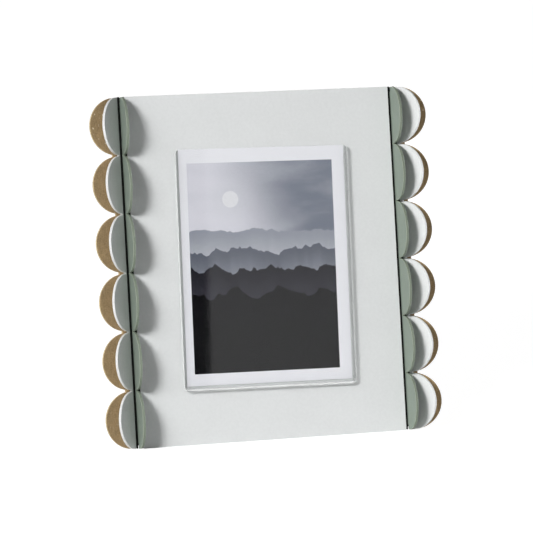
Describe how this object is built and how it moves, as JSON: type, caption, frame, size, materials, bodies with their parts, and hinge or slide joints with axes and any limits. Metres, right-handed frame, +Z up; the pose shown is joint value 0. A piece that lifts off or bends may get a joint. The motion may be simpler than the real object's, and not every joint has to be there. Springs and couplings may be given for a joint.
{
  "type": "photo holder",
  "caption": "Photo holder: pale board with a clear top-loading photo pocket, a fan of scalloped pages at each side and a folding easel leg.",
  "frame": {"origin": "middle of the footprint's bounding box, on the shelf the holder stands on", "axes": "+Z up, -Y towards the viewer, +X to the viewer's right; the holder leans back 14 degrees towards +Y"},
  "size_m": [0.2646, 0.1248, 0.2597],
  "materials": {
    "board_paint": "matt off-white paint",
    "white_page": "matt white paint",
    "green_page": "matt sage green paint",
    "brown_page": "bare fibreboard",
    "black_channel": "matt",
    "post_wood": "bare fibreboard",
    "clear_acrylic": "clear, polished edges",
    "photo_paper": "semi-gloss print with a white border",
    "leg_wood": "bare fibreboard",
    "pad_rubber": "matt",
    "bracket_steel": "zinc plated"
  },
  "bodies": {
    "holder": {"front_board": "board_paint", "left_page_green": "green_page", "left_page_white": "white_page", "left_page_brown": "brown_page", "right_page_green": "green_page", "right_page_white": "white_page", "right_page_brown": "brown_page", "left_grip_channel": "black_channel", "right_grip_channel": "black_channel", "left_spine_post": "post_wood", "right_spine_post": "post_wood", "pocket_strip_left": "clear_acrylic", "pocket_strip_right": "clear_acrylic", "pocket_strip_bottom": "clear_acrylic", "pocket_front_plate": "clear_acrylic", "leg_bracket_left": "bracket_steel", "leg_bracket_right": "bracket_steel", "leg_pin": "bracket_steel", "bracket_screw_1": "bracket_steel", "bracket_screw_2": "bracket_steel", "bracket_screw_3": "bracket_steel", "bracket_screw_4": "bracket_steel"},
    "print": {"photo_print": "photo_paper"},
    "leg": {"easel_leg": "leg_wood", "leg_foot_pad": "pad_rubber"}
  },
  "joints": [
    {"name": "leg_fold", "type": "hinge", "parent": "holder", "child": "leg", "pos_m": [0, 0.00944, 0.17025], "axis": [1, 0, 0], "range_deg": [-30, 0]},
    {"name": "print_lift", "type": "slide", "parent": "holder", "child": "print", "axis": [0.0148, 0.2419, 0.9702], "range_m": [0, 0.182]}
  ]
}
